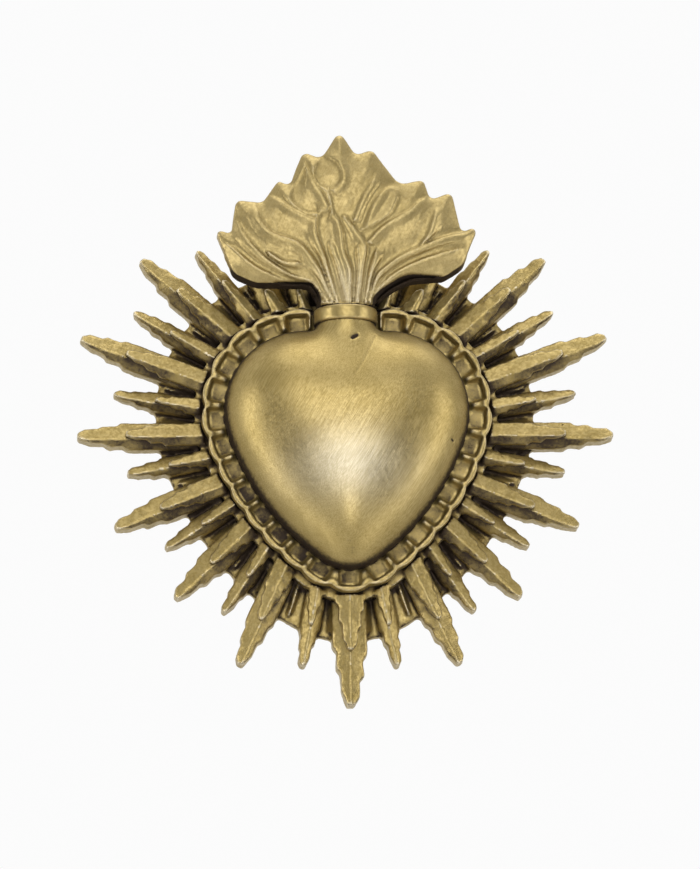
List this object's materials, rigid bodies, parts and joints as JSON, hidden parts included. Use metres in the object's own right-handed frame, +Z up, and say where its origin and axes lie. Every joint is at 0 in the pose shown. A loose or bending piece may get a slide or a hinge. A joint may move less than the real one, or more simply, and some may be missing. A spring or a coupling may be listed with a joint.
{
  "type": "wall ornament",
  "caption": "Flaming heart milagro in antique brass: domed heart in a cupped scalloped border on two tiers of ridged rays, with a ring behind for hanging.",
  "frame": {"origin": "centre of the rays on the flat back, which lies on the wall", "axes": "+Z up, +X to the viewer's right, -Y out from the wall towards the viewer"},
  "size_m": [0.1786, 0.031, 0.1919],
  "materials": {
    "antique_brass": "antiqued, brushed",
    "plain_brass": "satin",
    "steel": "satin"
  },
  "bodies": {
    "ornament": {"rear_rays": "antique_brass", "front_rays": "antique_brass", "scalloped_frame": "antique_brass", "heart_shell": "antique_brass", "neck_collar": "antique_brass", "flame_crown": "antique_brass", "heart_screws": "steel", "heart_washers": "plain_brass", "flame_screws": "steel", "flame_washers": "plain_brass", "hanger_strap": "plain_brass", "hanger_screws": "steel"},
    "ring": {"hanging_ring": "plain_brass"}
  },
  "joints": [
    {"name": "ring_hinge", "type": "hinge", "parent": "ornament", "child": "ring", "pos_m": [0, -0.00264, 0.017], "axis": [1, 0, 0], "range_deg": [0, 175]}
  ]
}
